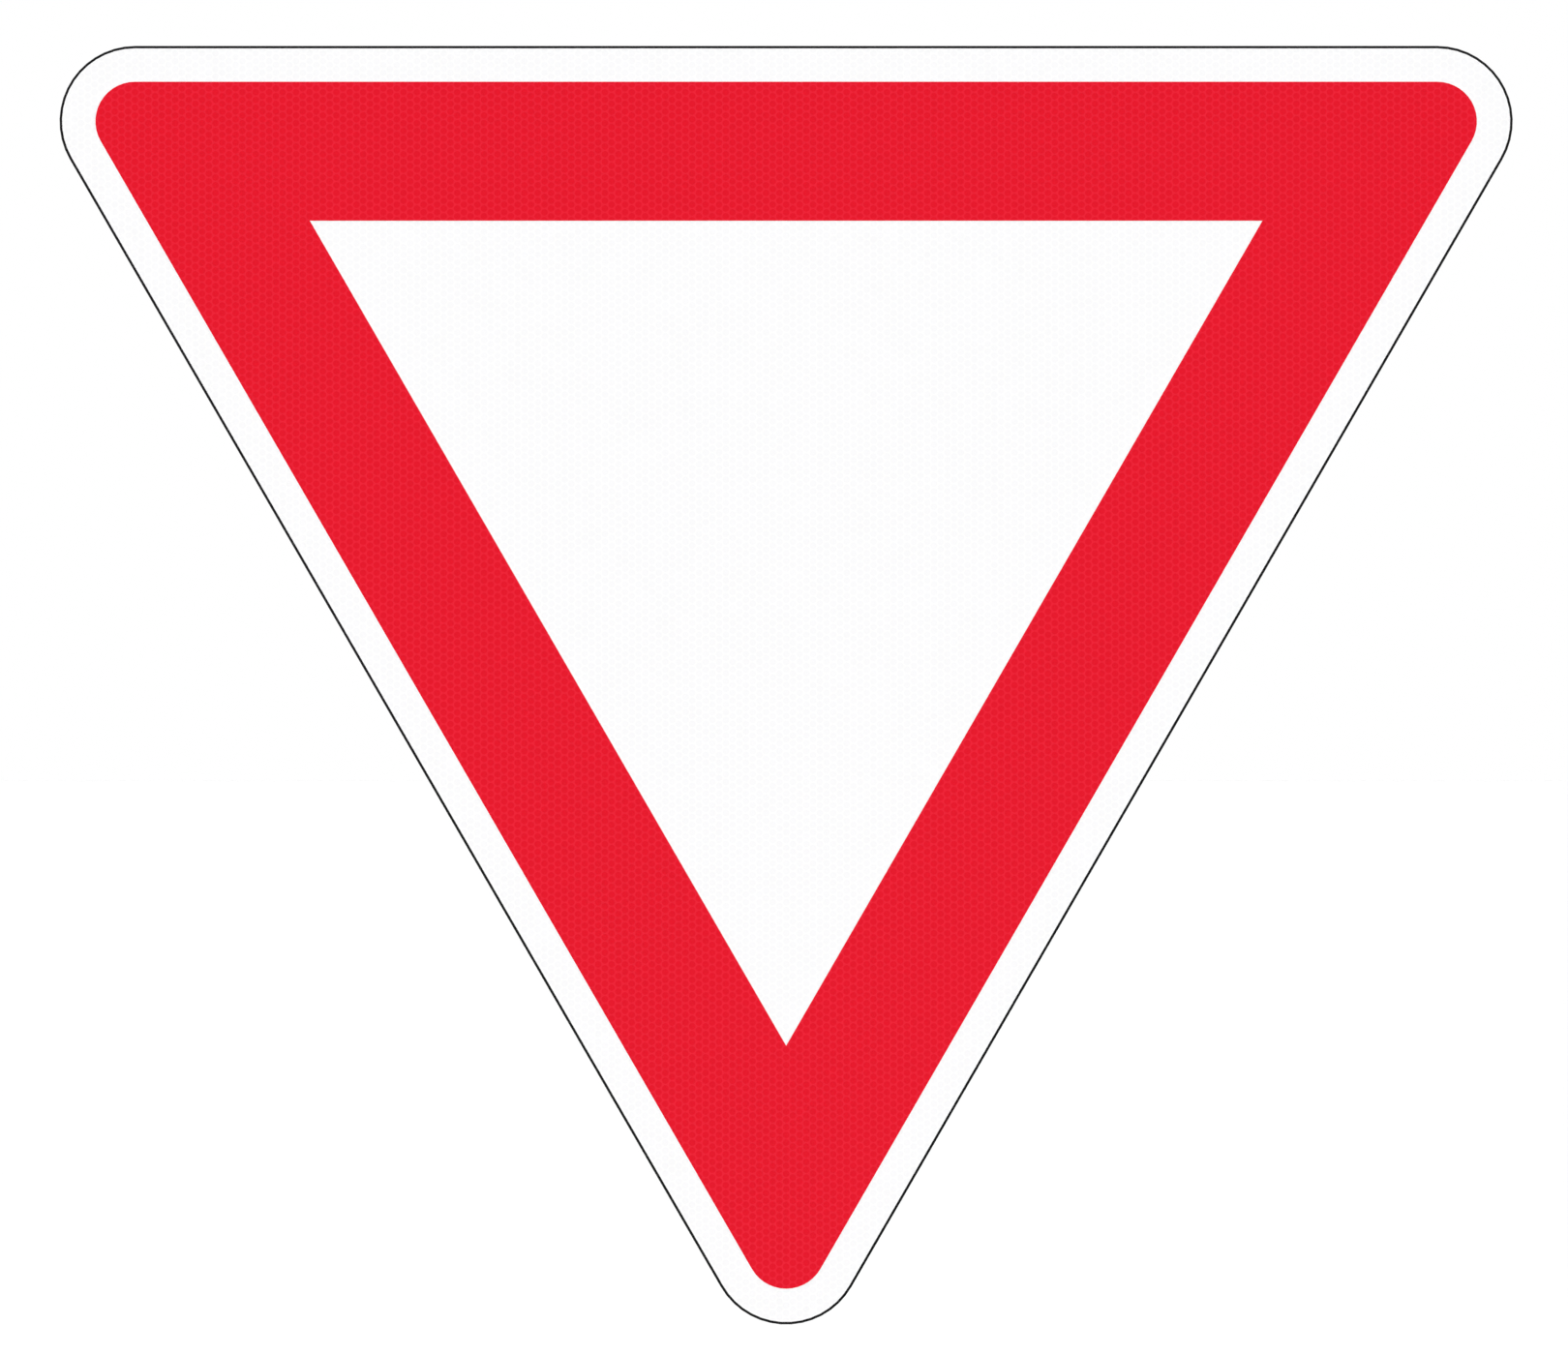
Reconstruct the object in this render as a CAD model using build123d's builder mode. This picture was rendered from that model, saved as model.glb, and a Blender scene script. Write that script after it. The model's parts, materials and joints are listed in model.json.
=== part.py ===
from build123d import *
from math import ceil, floor, sqrt
import os

# Give way sign, in millimetres. The face looks towards -Y, +X is to the reader's right
# and +Z is up. The origin is in the mouth of the upper rail's slot, midway along it,
# so both rails meet their post clamps in the plane Y = 0.

# Sign plate: an equilateral triangle, point down, cut from aluminium sheet
plate_width = 750.0
plate_thickness = 3.0
plate_corner_radius = 39.0
plate_rim_chamfer = 0.4

# Face: white sheeting trimmed short of the plate's edge, with the red border laid on it
bare_edge = 1.4
sheeting_thickness = 0.4
white_border = 17.2
red_band = 72.5
panel_lift = 0.8
film_thickness = 0.1

# Rail section: a slotted box on a flange, sized for an M8 bolt whose head slides inside
bolt_diameter = 8.0
bolt_head_across_flats = 13.0
bolt_head_height = 5.5
bolt_play = 1.0
bolt_head_side_play = 0.6
bolt_head_room = 1.7
rail_wall = 2.2
rail_lip = 2.6
rail_flange_thickness = 2.2
rail_flange_side = 13.0
rail_corner_radius = 2.0
rail_root_radius = 1.5
rail_tip_radius = 0.8
rail_lip_edge_radius = 0.4
rail_groove_depth = 0.35

# Rails on the plate: each is cut to a whole step, a gap short of the sloping edges
upper_rail_drop = 130.0
rail_spacing = 300.0
rail_end_gap = 35.0
rail_cut_step = 10.0

# Rivets: countersunk flush under the sheeting, with a formed tail on the rail's flange
rivet_diameter = 4.0
rivet_hole_play = 0.1
rivet_head_diameter = 7.6
rivet_head_angle = 90.0
rivet_tail_diameter = 6.4
rivet_tail_height = 2.0
rivet_tail_chamfer = 0.6
rivet_end_distance = 20.0
rivet_pitch_limit = 180.0

# Depths, measured forwards from the rails' rear faces
slot_width = bolt_diameter + bolt_play
cavity_width = bolt_head_across_flats + bolt_head_side_play
cavity_depth = bolt_head_height + bolt_head_room
rail_box_width = cavity_width + 2 * rail_wall
rail_flange_width = rail_box_width + 2 * rail_flange_side
rail_height = rail_lip + cavity_depth + rail_flange_thickness
flange_rear = rail_height - rail_flange_thickness
plate_front = rail_height + plate_thickness
sheeting_front = plate_front + sheeting_thickness

# Every outline on the face is an offset of one triangle, and shares its centre, apart from
# the white panel's, which is lifted a little. A reach is the distance from centre to side.
plate_reach = (plate_width - 2 * plate_corner_radius) / (2 * sqrt(3)) + plate_corner_radius
sheeting_reach = plate_reach - bare_edge
red_reach = sheeting_reach - white_border
panel_reach = red_reach - red_band
sheeting_corner_radius = plate_corner_radius - bare_edge
red_corner_radius = sheeting_corner_radius - white_border
face_centre = upper_rail_drop - plate_reach


# A plane across the sign, its normal towards the reader
def facing(depth, level):
    return Plane(origin=(0, -depth, level), x_dir=(1, 0, 0), z_dir=(0, -1, 0))


# The longest rail that fits the plate at a level, rounded down to a cutting step
def rail_length(level):
    lower_edge_drop = upper_rail_drop - level + rail_flange_width / 2
    half_width = (3 * plate_reach - lower_edge_drop) / sqrt(3)
    return floor(2 * (half_width - rail_end_gap) / rail_cut_step) * rail_cut_step


# Two rows of rivets, one along the middle of each side of the flange
rivet_row_spacing = rail_box_width + rail_flange_side


def rivet_grid(length):
    span = length - 2 * rivet_end_distance
    gaps = ceil(span / rivet_pitch_limit)
    return GridLocations(span / gaps, rivet_row_spacing, gaps + 1, 2)


rail_levels = {"upper_rail": 0.0, "lower_rail": -rail_spacing}
rivet_hole_radius = (rivet_diameter + rivet_hole_play) / 2

# Sign plate: flat sheet with its rims softened, countersunk from the front
with BuildPart() as sign_plate:
    with BuildSketch(facing(rail_height, face_centre)) as plate_outline:
        RegularPolygon(plate_reach, 3, major_radius=False, rotation=-90)
        fillet(plate_outline.vertices(), plate_corner_radius)
    extrude(amount=plate_thickness)
    chamfer(sign_plate.faces().filter_by(Axis.Y).edges(), plate_rim_chamfer)
    for level in rail_levels.values():
        with Locations(facing(plate_front, level)):
            with rivet_grid(rail_length(level)):
                CounterSinkHole(
                    rivet_hole_radius,
                    rivet_head_diameter / 2,
                    counter_sink_angle=rivet_head_angle,
                )
sign_plate.part.label = "sign_plate"

# White sheeting: one unbroken sheet over the plate and the rivet heads
with BuildPart() as white_sheeting:
    with BuildSketch(facing(plate_front, face_centre)) as sheeting_outline:
        RegularPolygon(sheeting_reach, 3, major_radius=False, rotation=-90)
        fillet(sheeting_outline.vertices(), sheeting_corner_radius)
    extrude(amount=sheeting_thickness)
white_sheeting.part.label = "white_sheeting"

# Red border: round outside corners, sharp corners round the white panel
with BuildPart() as red_border:
    with BuildSketch(facing(sheeting_front, face_centre)) as red_outline:
        RegularPolygon(red_reach, 3, major_radius=False, rotation=-90)
        fillet(red_outline.vertices(), red_corner_radius)
        with Locations((0, panel_lift)):
            RegularPolygon(panel_reach, 3, major_radius=False, rotation=-90, mode=Mode.SUBTRACT)
    extrude(amount=film_thickness)
red_border.part.label = "red_border"

# One rivet about the Z axis: the head's flat face at Z = 0, the formed tail below
rivet_head_radius = rivet_head_diameter / 2
rivet_radius = rivet_diameter / 2
rivet_grip = plate_thickness + rail_flange_thickness
with BuildPart() as rivet:
    Cone(
        rivet_radius,
        rivet_head_radius,
        rivet_head_radius - rivet_radius,
        align=(Align.CENTER, Align.CENTER, Align.MAX),
    )
    Cylinder(rivet_radius, rivet_grip, align=(Align.CENTER, Align.CENTER, Align.MAX))
    with Locations((0, 0, -rivet_grip)):
        Cylinder(
            rivet_tail_diameter / 2,
            rivet_tail_height,
            align=(Align.CENTER, Align.CENTER, Align.MAX),
        )
    chamfer(rivet.edges().group_by(Axis.Z)[0], rivet_tail_chamfer)

parts = [sign_plate, white_sheeting, red_border]

# Rails and their rivets, the same section and the same rivet at both levels
for name, level in rail_levels.items():
    length = rail_length(level)

    with BuildPart() as rail:
        with BuildSketch(Plane(origin=(0, 0, level), x_dir=(0, 1, 0), z_dir=(1, 0, 0))) as section:
            with Locations((-rail_height, 0)):
                Rectangle(
                    rail_flange_thickness, rail_flange_width, align=(Align.MIN, Align.CENTER)
                )
                Rectangle(rail_height, rail_box_width, align=(Align.MIN, Align.CENTER))
            fillet(section.vertices().group_by(Axis.Y)[0], rail_tip_radius)
            fillet(section.vertices().group_by(Axis.Y)[-1], rail_tip_radius)
            box_sides = (-rail_box_width / 2, rail_box_width / 2)
            box_corners = section.vertices().filter_by_position(Axis.Y, *box_sides)
            fillet(box_corners.group_by(Axis.X)[-1], rail_corner_radius)
            box_corners = section.vertices().filter_by_position(Axis.Y, *box_sides)
            fillet(box_corners.group_by(Axis.X)[0], rail_root_radius)
            with Locations((-rail_lip, 0)):
                Rectangle(
                    cavity_depth, cavity_width, align=(Align.MAX, Align.CENTER), mode=Mode.SUBTRACT
                )
            Rectangle(2 * rail_lip, slot_width, mode=Mode.SUBTRACT)
            lip_edges = section.vertices().filter_by_position(Axis.Y, -slot_width / 2, slot_width / 2)
            fillet(lip_edges, rail_lip_edge_radius)
            with Locations((-flange_rear, 0)):
                with GridLocations(0, rivet_row_spacing, 1, 2):
                    RegularPolygon(rail_groove_depth, 4, mode=Mode.SUBTRACT)
        extrude(amount=length / 2, both=True)
        with Locations(facing(rail_height, level)):
            with rivet_grid(length):
                Hole(rivet_hole_radius)
    rail.part.label = name

    with BuildPart() as rail_rivets:
        with Locations(facing(plate_front, level)):
            with rivet_grid(length):
                add(rivet.part)
    rail_rivets.part.label = name + "_rivets"

    parts += [rail, rail_rivets]

os.makedirs("parts", exist_ok=True)
for piece in parts:
    export_step(piece.part, f"parts/{piece.part.label}.step")
    print(piece.part.label, len(piece.part.solids()), "solids")
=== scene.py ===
import json
from math import cos, pi, radians, sin, sqrt

import bpy
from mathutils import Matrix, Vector

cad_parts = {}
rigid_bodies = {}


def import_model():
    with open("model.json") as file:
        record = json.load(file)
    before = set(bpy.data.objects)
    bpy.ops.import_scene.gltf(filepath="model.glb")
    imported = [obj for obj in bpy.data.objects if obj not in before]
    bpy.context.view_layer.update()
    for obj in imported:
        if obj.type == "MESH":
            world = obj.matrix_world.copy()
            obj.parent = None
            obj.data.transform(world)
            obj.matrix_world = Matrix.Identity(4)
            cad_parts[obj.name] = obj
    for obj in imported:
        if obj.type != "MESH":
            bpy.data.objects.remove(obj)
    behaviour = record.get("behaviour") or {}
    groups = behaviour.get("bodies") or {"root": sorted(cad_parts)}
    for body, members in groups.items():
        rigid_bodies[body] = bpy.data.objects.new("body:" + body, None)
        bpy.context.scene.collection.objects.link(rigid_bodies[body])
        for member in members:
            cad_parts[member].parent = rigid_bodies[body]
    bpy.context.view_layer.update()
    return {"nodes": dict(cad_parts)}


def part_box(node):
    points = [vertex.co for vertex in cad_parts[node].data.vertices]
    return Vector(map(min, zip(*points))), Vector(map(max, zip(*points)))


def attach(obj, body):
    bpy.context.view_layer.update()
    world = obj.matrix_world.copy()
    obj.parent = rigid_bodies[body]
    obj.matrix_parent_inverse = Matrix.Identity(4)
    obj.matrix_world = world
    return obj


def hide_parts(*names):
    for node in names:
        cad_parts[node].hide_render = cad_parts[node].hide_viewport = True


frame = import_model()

mm = 0.001
nodes = frame["nodes"]
print("frame loaded, with", len(nodes), "CAD nodes")


# Places on the sign, read from the frame
plateLow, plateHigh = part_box("sign_plate")
plateCentre = (plateLow.x + plateHigh.x) / 2
plateMiddle = (plateLow.z + plateHigh.z) / 2


def deselectAll():
    for item in bpy.context.view_layer.objects:
        item.select_set(False)


def selectOnly(item):
    deselectAll()
    item.select_set(True)
    bpy.context.view_layer.objects.active = item


# Materials. Patterns are set out in metres on the sign's own coordinates.

# An sRGB hex colour as linear red, green, blue and alpha
def linearColour(hexCode):
    channels = [int(hexCode[i:i + 2], 16) / 255 for i in (1, 3, 5)]
    return [c / 12.92 if c <= 0.04045 else ((c + 0.055) / 1.055) ** 2.4 for c in channels] + [1]


# One node with its settings and inputs. An input goes by its name, with underscores for its
# spaces, or by its number, as n0. A value that is a socket is linked, and any other is set.
def addNode(tree, kind, settings=None, **inputs):
    node = tree.nodes.new(kind)
    for name, value in (settings or {}).items():
        setattr(node, name, value)
    for name, value in inputs.items():
        key = int(name[1:]) if name[0] == "n" and name[1:].isdigit() else name.replace("_", " ")
        if isinstance(value, bpy.types.NodeSocket):
            tree.links.new(value, node.inputs[key])
        else:
            node.inputs[key].default_value = value
    return node


# An empty material, and the coordinates its patterns are laid on
def newMaterial(name):
    material = bpy.data.materials.new(name)
    material.use_nodes = True
    tree = material.node_tree
    tree.nodes.clear()
    place = addNode(tree, "ShaderNodeTexCoord").outputs["Object"]
    return material, tree, place


# The surface that a material ends with
def addSurface(tree, **inputs):
    shader = addNode(tree, "ShaderNodeBsdfPrincipled", **inputs)
    addNode(tree, "ShaderNodeOutputMaterial", Surface=shader.outputs["BSDF"])


# Reflective sheeting is made of small hexagonal cells. Real ones are about 3 mm across, and
# they are drawn a little larger, so that they show in a picture of the whole sign.
sheetingCells = {
    "pitch": 4.0 * mm,
    "wallFoot": -0.55,    # level of the three summed waves at which a wall starts to rise
    "wallTop": -0.95,    # level at which it is full
    "wallRise": 0.02 * mm,
}


# 1 on the walls between the cells and 0 inside them: three waves at 60 degrees, summed
def cellWalls(tree, place):
    waveNumber = 4 * pi / (sqrt(3) * sheetingCells["pitch"])
    waves = []
    for angle in (0, 60, 120):
        direction = (waveNumber * cos(radians(angle)), 0, waveNumber * sin(radians(angle)))
        phase = addNode(
            tree, "ShaderNodeVectorMath", {"operation": "DOT_PRODUCT"}, n0=place, n1=direction,
        )
        wave = addNode(tree, "ShaderNodeMath", {"operation": "COSINE"}, n0=phase.outputs["Value"])
        waves.append(wave.outputs["Value"])
    pair = addNode(tree, "ShaderNodeMath", {"operation": "ADD"}, n0=waves[0], n1=waves[1])
    total = addNode(
        tree, "ShaderNodeMath", {"operation": "ADD"}, n0=pair.outputs["Value"], n1=waves[2],
    )
    walls = addNode(
        tree, "ShaderNodeMapRange", {"interpolation_type": "SMOOTHSTEP"}, Value=total.outputs["Value"],
        From_Min=sheetingCells["wallFoot"], From_Max=sheetingCells["wallTop"],
    )
    return walls.outputs["Result"]


# White reflective sheeting, laminated acrylic over sealed cells: a bright even white with the
# faint honeycomb of the cell walls in it, under a smooth skin with a soft sheen.
def makeWhiteSheeting():
    look = {
        "cell": "#FAFAFB", "wall": "#FEFEFE", "roughness": 0.28, "ior": 1.49, "bumpStrength": 0.5,
    }
    material, tree, place = newMaterial("whiteReflectiveSheeting")
    walls = cellWalls(tree, place)
    colour = addNode(
        tree, "ShaderNodeMix", {"data_type": "RGBA"},
        Factor=walls, n6=linearColour(look["cell"]), n7=linearColour(look["wall"]),
    )
    bump = addNode(
        tree, "ShaderNodeBump",
        Height=walls, Strength=look["bumpStrength"], Distance=sheetingCells["wallRise"],
    )
    addSurface(
        tree, Base_Color=colour.outputs[2], Roughness=look["roughness"], IOR=look["ior"],
        Normal=bump.outputs["Normal"],
    )
    return material


# Transparent red film over the sheeting: a deep clear red, with the same cells just seen
# through it. Its gloss is kept low, so that a white room doesn't pale the red.
def makeRedFilm():
    look = {
        "cell": "#E51128", "wall": "#E91D34", "roughness": 0.3, "ior": 1.49, "gloss": 0.1,
        "bumpStrength": 0.35,
    }
    material, tree, place = newMaterial("redTransparentFilm")
    walls = cellWalls(tree, place)
    colour = addNode(
        tree, "ShaderNodeMix", {"data_type": "RGBA"},
        Factor=walls, n6=linearColour(look["cell"]), n7=linearColour(look["wall"]),
    )
    bump = addNode(
        tree, "ShaderNodeBump",
        Height=walls, Strength=look["bumpStrength"], Distance=sheetingCells["wallRise"],
    )
    addSurface(
        tree, Base_Color=colour.outputs[2], Roughness=look["roughness"], IOR=look["ior"],
        Specular_IOR_Level=look["gloss"], Normal=bump.outputs["Normal"],
    )
    return material


# Black powder coat on aluminium: matte, with the sandy grain of a textured powder in its bump.
# Its colour carries painted light: the grain's light and dark specks are painted shade and
# highlight on the grain, and broad soft lighter patches are painted sheen. Real grain is about
# 1 mm, and it is drawn three times as coarse, so that it shows in a picture of the whole sign.
def makePowderCoat():
    look = {
        "dark": "#020202", "light": "#19191B", "gloss": 0.1, "ior": 1.5,
        "grain": 3.0 * mm, "grainDetail": 3.0, "grainRise": 0.12 * mm, "grainLevels": (0.3, 0.7),
        "patch": 120 * mm, "patchDetail": 4.0, "patchLevels": (0.35, 0.7), "paintedSheenShare": 0.4,
        "smoothest": 0.42, "roughest": 0.58, "bumpStrength": 0.6,
    }
    material, tree, place = newMaterial("blackPowderCoat")
    # The sandy grain: its bump is real, and in the colour it is painted shade and highlight
    grain = addNode(
        tree, "ShaderNodeTexNoise",
        Vector=place, Scale=1 / look["grain"], Detail=look["grainDetail"],
    )
    grains = addNode(
        tree, "ShaderNodeMapRange", Value=grain.outputs["Fac"],
        From_Min=look["grainLevels"][0], From_Max=look["grainLevels"][1],
    )
    # Broad soft patches of painted sheen
    patch = addNode(
        tree, "ShaderNodeTexNoise",
        Vector=place, Scale=1 / look["patch"], Detail=look["patchDetail"],
    )
    paintedSheenPatches = addNode(
        tree, "ShaderNodeMapRange", Value=patch.outputs["Fac"],
        From_Min=look["patchLevels"][0], From_Max=look["patchLevels"][1],
    )
    paintedShadeAndSheen = addNode(
        tree, "ShaderNodeMix", {"data_type": "FLOAT"},
        Factor=look["paintedSheenShare"], n2=grains.outputs["Result"], n3=paintedSheenPatches.outputs["Result"],
    )
    # The coat's colour, with the painted shade, highlight and sheen mixed into it
    colour = addNode(
        tree, "ShaderNodeMix", {"data_type": "RGBA"},
        Factor=paintedShadeAndSheen.outputs[0], n6=linearColour(look["dark"]), n7=linearColour(look["light"]),
    )
    roughness = addNode(
        tree, "ShaderNodeMapRange",
        Value=paintedShadeAndSheen.outputs[0], To_Min=look["smoothest"], To_Max=look["roughest"],
    )
    bump = addNode(
        tree, "ShaderNodeBump", Height=grains.outputs["Result"],
        Strength=look["bumpStrength"], Distance=look["grainRise"],
    )
    addSurface(
        tree, Base_Color=colour.outputs[2], Roughness=roughness.outputs["Result"],
        IOR=look["ior"], Specular_IOR_Level=look["gloss"], Normal=bump.outputs["Normal"],
    )
    return material


# Extruded aluminium, left as it came from the die: a pale grey metal with fine lines drawn
# along its length, and the coarser marks of the saw across its two ends.
def makeExtrudedAluminium():
    look = {
        "dark": "#B6B7BA", "light": "#CDCED1", "smoothest": 0.28, "roughest": 0.46,
        "line": 0.7 * mm, "lineLength": 300 * mm, "lineDetail": 3.0,
        "sawPitch": 1.2 * mm, "sawWander": 1.5, "sawDetail": 2.0,
        "markRise": 0.02 * mm, "bumpStrength": 0.5,
        "endFrom": 0.9,    # how squarely a face looks along the rail when it is one of its ends
    }
    material, tree, place = newMaterial("extrudedAluminium")
    stretched = addNode(
        tree, "ShaderNodeMapping", Vector=place,
        Scale=(1 / look["lineLength"], 1 / look["line"], 1 / look["line"]),
    )
    lines = addNode(
        tree, "ShaderNodeTexNoise",
        Vector=stretched.outputs["Vector"], Scale=1.0, Detail=look["lineDetail"],
    )
    bandAtScaleOne = 2 * pi / 20    # how wide one band of a wave texture of scale 1 is
    sawMarks = addNode(
        tree, "ShaderNodeTexWave", {"wave_type": "BANDS", "bands_direction": "Y"},
        Vector=place, Scale=bandAtScaleOne / look["sawPitch"], Distortion=look["sawWander"],
        Detail=look["sawDetail"],
    )
    normal = addNode(tree, "ShaderNodeTexCoord").outputs["Normal"]
    facingX = addNode(tree, "ShaderNodeSeparateXYZ", Vector=normal).outputs["X"]
    endwards = addNode(tree, "ShaderNodeMath", {"operation": "ABSOLUTE"}, n0=facingX)
    isEnd = addNode(
        tree, "ShaderNodeMath", {"operation": "GREATER_THAN"},
        n0=endwards.outputs[0], n1=look["endFrom"],
    )
    marks = addNode(
        tree, "ShaderNodeMix", {"data_type": "FLOAT"},
        Factor=isEnd.outputs[0], n2=lines.outputs["Fac"], n3=sawMarks.outputs["Fac"],
    )
    colour = addNode(
        tree, "ShaderNodeMix", {"data_type": "RGBA"},
        Factor=marks.outputs[0], n6=linearColour(look["dark"]), n7=linearColour(look["light"]),
    )
    roughness = addNode(
        tree, "ShaderNodeMapRange",
        Value=marks.outputs[0], To_Min=look["smoothest"], To_Max=look["roughest"],
    )
    bump = addNode(
        tree, "ShaderNodeBump",
        Height=marks.outputs[0], Strength=look["bumpStrength"], Distance=look["markRise"],
    )
    addSurface(
        tree, Base_Color=colour.outputs[2], Metallic=1.0, Roughness=roughness.outputs["Result"],
        Normal=bump.outputs["Normal"],
    )
    return material


# Soft rivet aluminium, squeezed to shape: brighter and smoother than the rail, faintly mottled.
def makeRivetAluminium():
    look = {
        "dark": "#CBCCCE", "light": "#DCDCDE", "smoothest": 0.2, "roughest": 0.34,
        "mottle": 0.9 * mm, "mottleDetail": 2.0, "mottleRise": 0.02 * mm, "bumpStrength": 0.4,
    }
    material, tree, place = newMaterial("pressedAluminium")
    mottle = addNode(
        tree, "ShaderNodeTexNoise",
        Vector=place, Scale=1 / look["mottle"], Detail=look["mottleDetail"],
    )
    colour = addNode(
        tree, "ShaderNodeMix", {"data_type": "RGBA"},
        Factor=mottle.outputs["Fac"], n6=linearColour(look["dark"]), n7=linearColour(look["light"]),
    )
    roughness = addNode(
        tree, "ShaderNodeMapRange",
        Value=mottle.outputs["Fac"], To_Min=look["smoothest"], To_Max=look["roughest"],
    )
    bump = addNode(
        tree, "ShaderNodeBump",
        Height=mottle.outputs["Fac"], Strength=look["bumpStrength"], Distance=look["mottleRise"],
    )
    addSurface(
        tree, Base_Color=colour.outputs[2], Metallic=1.0, Roughness=roughness.outputs["Result"],
        Normal=bump.outputs["Normal"],
    )
    return material


railAluminium = makeExtrudedAluminium()
rivetAluminium = makeRivetAluminium()
nodeFinishes = {
    "sign_plate": makePowderCoat(),
    "white_sheeting": makeWhiteSheeting(),
    "red_border": makeRedFilm(),
    "upper_rail": railAluminium,
    "lower_rail": railAluminium,
}
for nodeName, finish in nodeFinishes.items():
    nodes[nodeName].data.materials.clear()
    nodes[nodeName].data.materials.append(finish)
print("materials given to the CAD nodes")


# Solid rivets, squeezed over on the rails' flanges. Sizes are millimetres. A ring is its radius
# and how far it lies behind the head's flat face, which is flush with the plate.
rivet = {
    "sides": 32,
    "headRadius": 3.8,
    "rings": [
        (2.0, 1.8), (2.0, 5.2), (2.85, 5.2), (3.12, 5.7), (3.2, 6.2), (3.1, 6.75), (2.8, 7.1),
    ],
    "flatRadius": 2.45,    # of the squeezed end, inside its rounded rim
    "dishRadius": 1.9,    # the squeezed end is very slightly hollow
    "dishDepth": 0.12,
    "mergeBelow": 0.001,    # points nearer than this are one
    "smoothBelow": 40,    # degrees
    "alongRail": {"upper_rail": 4, "lower_rail": 2},
}
rivetNodeLow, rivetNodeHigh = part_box("upper_rail_rivets")
rivetLength = (rivetNodeHigh.y - rivetNodeLow.y) / mm


# One rivet along Y, its head's flat face centred on the origin
def makeRivet():
    deselectAll()
    bpy.ops.mesh.primitive_circle_add(
        vertices=rivet["sides"], radius=rivet["headRadius"] * mm, fill_type="NGON",
        rotation=(pi / 2, 0, 0),
    )
    made = bpy.context.object
    bpy.ops.object.transform_apply(location=False, rotation=True, scale=False)
    bpy.ops.object.mode_set(mode="EDIT")
    bpy.ops.mesh.select_all(action="SELECT")
    bpy.ops.mesh.duplicate()    # the first disc stays behind as the head's face
    radius, depth = rivet["headRadius"], 0
    rim = (rivet["flatRadius"], rivetLength)
    dish = (rivet["dishRadius"], rivetLength - rivet["dishDepth"])
    for nextRadius, nextDepth in rivet["rings"] + [rim, dish]:
        bpy.ops.mesh.extrude_region_move(
            TRANSFORM_OT_translate={"value": (0, (nextDepth - depth) * mm, 0)},
        )
        share = nextRadius / radius
        bpy.ops.transform.resize(value=(share, 1, share), center_override=(0, nextDepth * mm, 0))
        radius, depth = nextRadius, nextDepth
    bpy.ops.mesh.select_all(action="SELECT")
    bpy.ops.mesh.remove_doubles(threshold=rivet["mergeBelow"] * mm)
    bpy.ops.mesh.normals_make_consistent(inside=False)
    bpy.ops.object.mode_set(mode="OBJECT")
    bpy.ops.object.shade_smooth_by_angle(angle=radians(rivet["smoothBelow"]))
    made.data.materials.append(rivetAluminium)
    return made


firstRivet = makeRivet()
for railName, count in rivet["alongRail"].items():
    nodeName = railName + "_rivets"
    low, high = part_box(nodeName)
    inset = rivet["headRadius"] * mm
    step = (high.x - low.x - 2 * inset) / (count - 1)
    for row, height in (("Top", high.z - inset), ("Foot", low.z + inset)):
        for place in range(count):
            piece = firstRivet.copy()
            piece.data = firstRivet.data.copy()
            bpy.context.collection.objects.link(piece)
            piece.name = railName.replace("_rail", "Rail") + "Rivet" + row + str(place + 1)
            piece.location = (low.x + inset + place * step, low.y, height)
            selectOnly(piece)
            bpy.ops.object.transform_apply(location=True, rotation=True, scale=True)
            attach(piece, "root")
            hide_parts(nodeName)
bpy.data.objects.remove(firstRivet)
print("rivets set in both rails")


# The setting: a white world, a pale floor well below the sign, and soft lamps, in metres
setting = {
    "floorLevel": -0.75,
    "floorWidth": 60.0,
    "floorColour": "#DEDEDE",
    "floorLift": 0.12,    # brightness added where the floor is seen, so that it meets the white
    "daylight": 0.5,    # light from all round
    "lampAngle": 30,    # degrees across, for soft shadows
    "frontLamp": {"azimuth": -12, "elevation": 58, "strength": 1.95},
    "rearLamp": {"azimuth": 165, "elevation": 58, "strength": 0.7},
    "softbox": {"place": (-1.1, 1.9, 0.7), "size": 0.9, "power": 9},
}


# 1 for the rays that show the background itself, by sight, in a gloss or through glass
def seenDirectly(tree):
    rays = addNode(tree, "ShaderNodeLightPath").outputs
    pair = addNode(
        tree, "ShaderNodeMath", {"operation": "MAXIMUM"},
        n0=rays["Is Camera Ray"], n1=rays["Is Glossy Ray"],
    )
    seen = addNode(
        tree, "ShaderNodeMath", {"operation": "MAXIMUM"},
        n0=pair.outputs[0], n1=rays["Is Transmission Ray"],
    )
    return seen.outputs[0]


world = bpy.data.worlds.new("whiteStudio")
world.use_nodes = True
worldTree = world.node_tree
worldTree.nodes.clear()
white = linearColour("#FFFFFF")
light = addNode(worldTree, "ShaderNodeBackground", Color=white, Strength=setting["daylight"])
sight = addNode(worldTree, "ShaderNodeBackground", Color=white, Strength=1.0)
surround = addNode(
    worldTree, "ShaderNodeMixShader", n0=seenDirectly(worldTree),
    n1=light.outputs["Background"], n2=sight.outputs["Background"],
)
addNode(worldTree, "ShaderNodeOutputWorld", Surface=surround.outputs["Shader"])
bpy.context.scene.world = world

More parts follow.
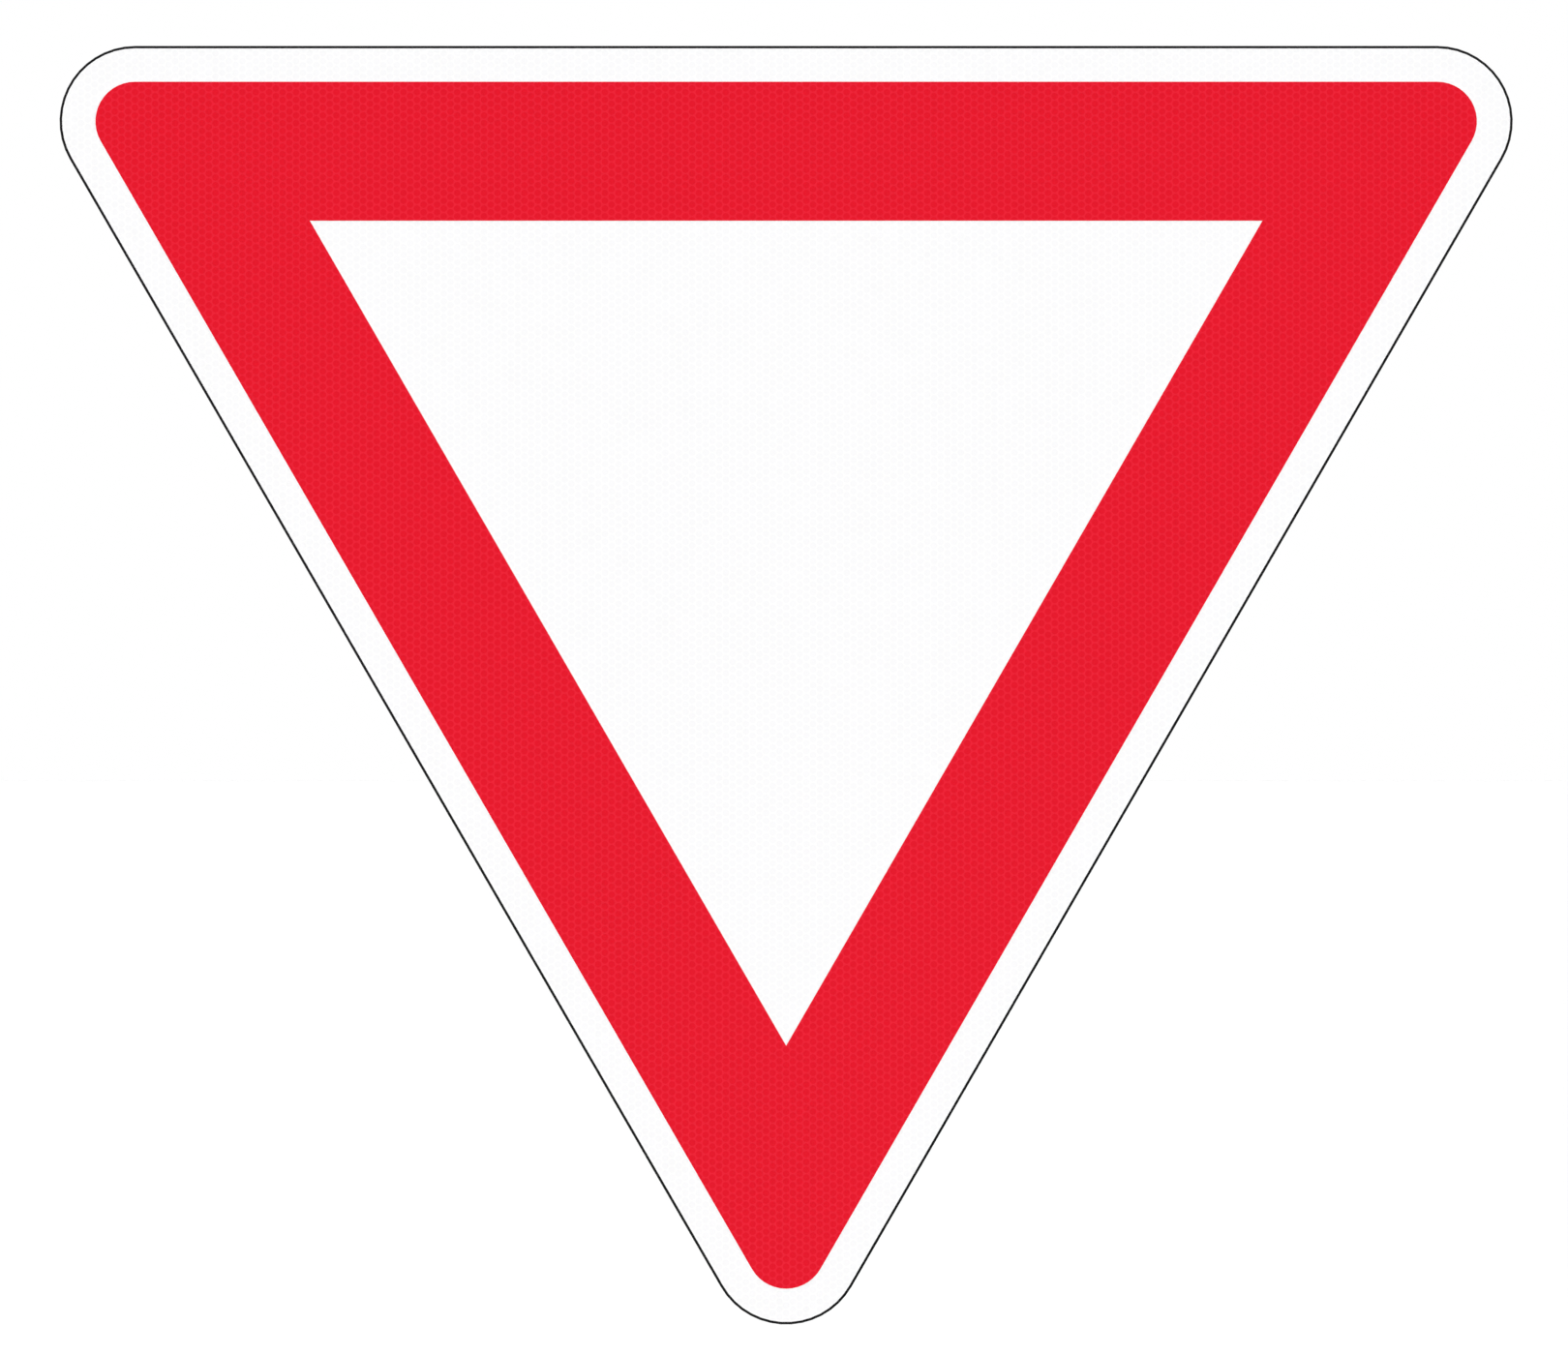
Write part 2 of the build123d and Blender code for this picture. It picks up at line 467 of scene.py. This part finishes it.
# Matt painted floor: a plain pale surface that takes the sign's soft shadow
floorPaint = bpy.data.materials.new("paleFloorPaint")
floorPaint.use_nodes = True
floorTree = floorPaint.node_tree
floorTree.nodes.clear()
matt = addNode(floorTree, "ShaderNodeBsdfDiffuse", Color=linearColour(setting["floorColour"]))
lift = addNode(
    floorTree, "ShaderNodeMath", {"operation": "MULTIPLY"},
    n0=seenDirectly(floorTree), n1=setting["floorLift"],
)
glow = addNode(floorTree, "ShaderNodeEmission", Color=white, Strength=lift.outputs[0])
paint = addNode(
    floorTree, "ShaderNodeAddShader", n0=matt.outputs["BSDF"], n1=glow.outputs["Emission"],
)
addNode(floorTree, "ShaderNodeOutputMaterial", Surface=paint.outputs["Shader"])

deselectAll()
bpy.ops.mesh.primitive_plane_add(size=setting["floorWidth"], location=(0, 0, setting["floorLevel"]))
floor = bpy.context.object
floor.name = "floor"
floor.data.materials.append(floorPaint)


# A far lamp. Its azimuth turns round the sign from in front of it, towards its right.
def addLamp(name, azimuth, elevation, strength):
    turn, rise = radians(azimuth), radians(elevation)
    towards = Vector((sin(turn) * cos(rise), -cos(turn) * cos(rise), sin(rise)))
    deselectAll()
    bpy.ops.object.light_add(type="SUN", rotation=towards.to_track_quat("Z", "Y").to_euler())
    lamp = bpy.context.object
    lamp.name = name
    lamp.data.energy = strength
    lamp.data.angle = radians(setting["lampAngle"])


addLamp("frontLamp", **setting["frontLamp"])
addLamp("rearLamp", **setting["rearLamp"])

# A softbox near the sign's back, whose light falls off across it. None of it reaches the face.
softboxPlace = Vector(setting["softbox"]["place"])
towards = softboxPlace - Vector((plateCentre, plateHigh.y, plateMiddle))
deselectAll()
bpy.ops.object.light_add(
    type="AREA", location=softboxPlace, rotation=towards.to_track_quat("Z", "Y").to_euler(),
)
softbox = bpy.context.object
softbox.name = "softbox"
softbox.data.size = setting["softbox"]["size"]
softbox.data.energy = setting["softbox"]["power"]
print("floor and lamps set")


# The camera looks straight at the face, square to it. At the face the picture is as wide as
# the drawing's 1620 pixels are at the sign's real size.
view = {
    "imageWidth": 1620,
    "pixelSize": 0.49947 * mm,
    "distance": 3.2,
    "sensor": 36.0,
    "centreRight": 2.2,    # pixels from the picture's centre to the sign's, to the right
    "centreDown": 7.9,    # and downwards
    "clipEnd": 200,
}
deselectAll()
bpy.ops.object.camera_add(
    location=(
        plateCentre - view["centreRight"] * view["pixelSize"],
        plateLow.y - view["distance"],
        plateMiddle + view["centreDown"] * view["pixelSize"],
    ),
    rotation=(pi / 2, 0, 0),
)
camera = bpy.context.object
camera.name = "camera"
camera.data.sensor_width = view["sensor"]
camera.data.lens = view["sensor"] * view["distance"] / (view["imageWidth"] * view["pixelSize"])
camera.data.clip_end = view["clipEnd"]
bpy.context.scene.camera = camera
bpy.context.scene.view_settings.view_transform = "Standard"
print("camera set, lens", round(camera.data.lens, 1), "mm")
